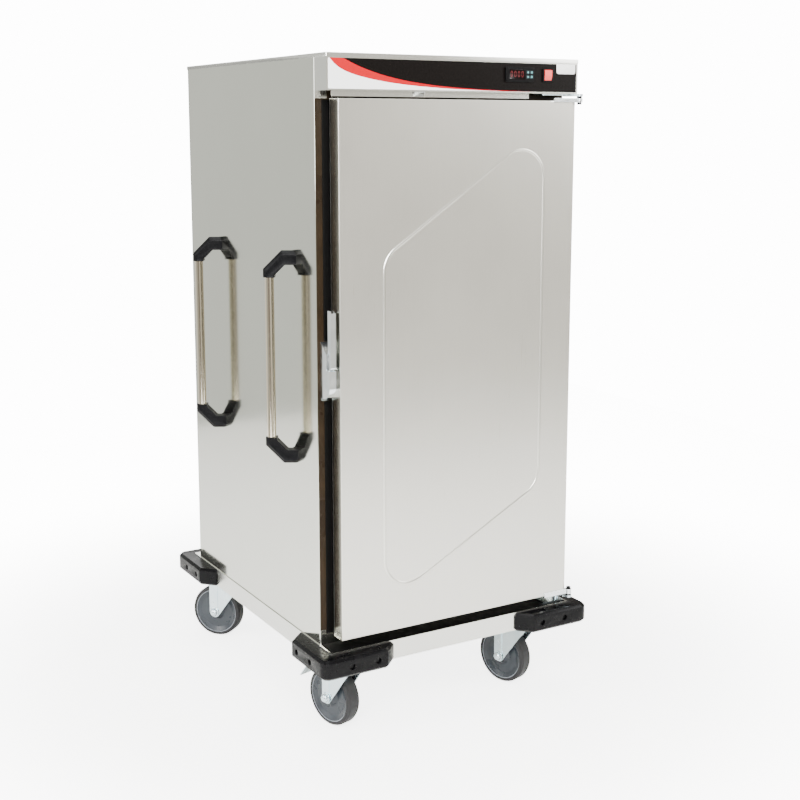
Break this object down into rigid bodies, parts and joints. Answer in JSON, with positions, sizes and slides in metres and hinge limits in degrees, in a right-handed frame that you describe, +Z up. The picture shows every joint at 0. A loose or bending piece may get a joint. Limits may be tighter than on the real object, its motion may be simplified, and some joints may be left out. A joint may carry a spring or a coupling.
{
  "type": "heated banquet cart",
  "caption": "Upright insulated stainless cabinet on swivel casters, with a hinged door, lever latch, side handles, corner bumpers, control panel, tray racks and a ceiling fan heater.",
  "frame": {"origin": "on the floor, under the middle of the cart's outline (handles and bumpers included)", "axes": "+Z up; the door faces -Y; hinges on +X, handles on -X"},
  "size_m": [0.8606, 1.018, 1.763],
  "materials": {
    "stainless_sheet": "brushed",
    "stainless_bright": "fine brushed",
    "stainless_inner": "satin",
    "zinc_plated_steel": "bright zinc",
    "die_cast_metal": "satin",
    "bumper_moulding": "fine grain",
    "handle_moulding": "fine grain",
    "switch_moulding": "satin",
    "rocker_moulding": "gloss",
    "key_rubber": "matt",
    "overlay_film": "satin",
    "gasket_rubber": "matt",
    "insulation_wool": "fibrous",
    "wheel_moulding": "satin",
    "tyre_rubber": "matt",
    "motor_case": "satin",
    "heater_sheath": "oxidised"
  },
  "bodies": {
    "cabinet": {"air_baffle": "stainless_inner", "base_pan": "stainless_sheet", "bumper_screws": "zinc_plated_steel", "caster_plates": "zinc_plated_steel", "chassis_channels": "stainless_sheet", "control_housing": "stainless_sheet", "control_overlay": "overlay_film", "controller": "switch_moulding", "corner_bumpers": "bumper_moulding", "door_stops": "gasket_rubber", "fan_motor": "motor_case", "front_trim": "stainless_sheet", "handle_elbows": "handle_moulding", "handle_tubes": "stainless_bright", "heater_element": "heater_sheath", "hinge_brackets": "zinc_plated_steel", "hinge_pins": "switch_moulding", "inner_liner": "stainless_inner", "latch_strike": "die_cast_metal", "left_side_panel": "stainless_sheet", "mains_inlet": "switch_moulding", "rear_panel": "stainless_sheet", "right_side_panel": "stainless_sheet", "rocker_switch": "switch_moulding", "top_cover": "stainless_sheet", "tray_rack_left": "stainless_inner", "tray_rack_right": "stainless_inner", "wall_insulation": "insulation_wool"},
    "door": {"door_skin": "stainless_bright", "door_core": "insulation_wool", "door_liner": "stainless_inner", "door_gasket": "gasket_rubber", "hinge_straps": "die_cast_metal", "latch_body": "die_cast_metal"},
    "latch_lever": {"latch_lever": "die_cast_metal"},
    "rocker": {"rocker": "rocker_moulding"},
    "fan": {"fan_wheel": "die_cast_metal"},
    "key_up": {"key_up": "key_rubber"},
    "key_down": {"key_down": "key_rubber"},
    "key_set": {"key_set": "key_rubber"},
    "key_power": {"key_power": "key_rubber"},
    "caster_front_left": {"fork_front_left": "zinc_plated_steel", "axle_front_left": "zinc_plated_steel"},
    "wheel_front_left": {"wheel_core_front_left": "wheel_moulding", "tyre_front_left": "tyre_rubber"},
    "caster_front_right": {"fork_front_right": "zinc_plated_steel", "axle_front_right": "zinc_plated_steel"},
    "wheel_front_right": {"wheel_core_front_right": "wheel_moulding", "tyre_front_right": "tyre_rubber"},
    "caster_rear_left": {"fork_rear_left": "zinc_plated_steel", "axle_rear_left": "zinc_plated_steel"},
    "wheel_rear_left": {"wheel_core_rear_left": "wheel_moulding", "tyre_rear_left": "tyre_rubber"},
    "caster_rear_right": {"fork_rear_right": "zinc_plated_steel", "axle_rear_right": "zinc_plated_steel"},
    "wheel_rear_right": {"wheel_core_rear_right": "wheel_moulding", "tyre_rear_right": "tyre_rubber"},
    "brake_pedal_front_left": {"brake_pedal_front_left": "zinc_plated_steel"},
    "brake_pedal_front_right": {"brake_pedal_front_right": "zinc_plated_steel"}
  },
  "joints": [
    {"name": "door_swing", "type": "hinge", "parent": "cabinet", "child": "door", "pos_m": [0.38878, -0.4705, 0.9725], "axis": [0, 0, 1], "range_deg": [0, 265]},
    {"name": "latch_pull", "type": "hinge", "parent": "door", "child": "latch_lever", "pos_m": [-0.34272, -0.445, 1], "axis": [1, 0, 0], "range_deg": [0, 30], "stiffness_Nm_per_rad": 1.5},
    {"name": "rocker_tilt", "type": "hinge", "parent": "cabinet", "child": "rocker", "pos_m": [0.28628, -0.4651, 1.721], "axis": [-1, 0, 0], "range_deg": [0, 16]},
    {"name": "fan_spin", "type": "hinge", "parent": "cabinet", "child": "fan", "pos_m": [0.01178, -0.0125, 1.632], "axis": [0, 0, 1], "continuous": true},
    {"name": "key_up_press", "type": "slide", "parent": "cabinet", "child": "key_up", "axis": [0, 1, 0], "range_m": [0, 0.0008], "stiffness_N_per_m": 300},
    {"name": "key_down_press", "type": "slide", "parent": "cabinet", "child": "key_down", "axis": [0, 1, 0], "range_m": [0, 0.0008], "stiffness_N_per_m": 300},
    {"name": "key_set_press", "type": "slide", "parent": "cabinet", "child": "key_set", "axis": [0, 1, 0], "range_m": [0, 0.0008], "stiffness_N_per_m": 300},
    {"name": "key_power_press", "type": "slide", "parent": "cabinet", "child": "key_power", "axis": [0, 1, 0], "range_m": [0, 0.0008], "stiffness_N_per_m": 300},
    {"name": "swivel_front_left", "type": "hinge", "parent": "cabinet", "child": "caster_front_left", "pos_m": [-0.26822, -0.38, 0.1966], "axis": [0, 0, 1], "continuous": true},
    {"name": "roll_front_left", "type": "hinge", "parent": "caster_front_left", "child": "wheel_front_left", "pos_m": [-0.28297, -0.32494, 0.08], "axis": [-0.9659, -0.2588, 0], "continuous": true},
    {"name": "swivel_front_right", "type": "hinge", "parent": "cabinet", "child": "caster_front_right", "pos_m": [0.29178, -0.38, 0.1966], "axis": [0, 0, 1], "continuous": true},
    {"name": "roll_front_right", "type": "hinge", "parent": "caster_front_right", "child": "wheel_front_right", "pos_m": [0.27607, -0.32521, 0.08], "axis": [-0.9613, -0.2756, 0], "continuous": true},
    {"name": "swivel_rear_left", "type": "hinge", "parent": "cabinet", "child": "caster_rear_left", "pos_m": [-0.26822, 0.38, 0.1966], "axis": [0, 0, 1], "continuous": true},
    {"name": "roll_rear_left", "type": "hinge", "parent": "caster_rear_left", "child": "wheel_rear_left", "pos_m": [-0.30486, 0.42367, 0.08], "axis": [-0.766, -0.6428, 0], "continuous": true},
    {"name": "swivel_rear_right", "type": "hinge", "parent": "cabinet", "child": "caster_rear_right", "pos_m": [0.29178, 0.38, 0.1966], "axis": [0, 0, 1], "continuous": true},
    {"name": "roll_rear_right", "type": "hinge", "parent": "caster_rear_right", "child": "wheel_rear_right", "pos_m": [0.26502, 0.43033, 0.08], "axis": [-0.8829, -0.4695, 0], "continuous": true},
    {"name": "brake_front_left", "type": "hinge", "parent": "caster_front_left", "child": "brake_pedal_front_left", "pos_m": [-0.28505, -0.31722, 0.1786], "axis": [-0.9659, -0.2588, 0], "range_deg": [0, 10]},
    {"name": "brake_front_right", "type": "hinge", "parent": "caster_front_right", "child": "brake_pedal_front_right", "pos_m": [0.27386, -0.31752, 0.1786], "axis": [-0.9613, -0.2756, 0], "range_deg": [0, 10]}
  ]
}
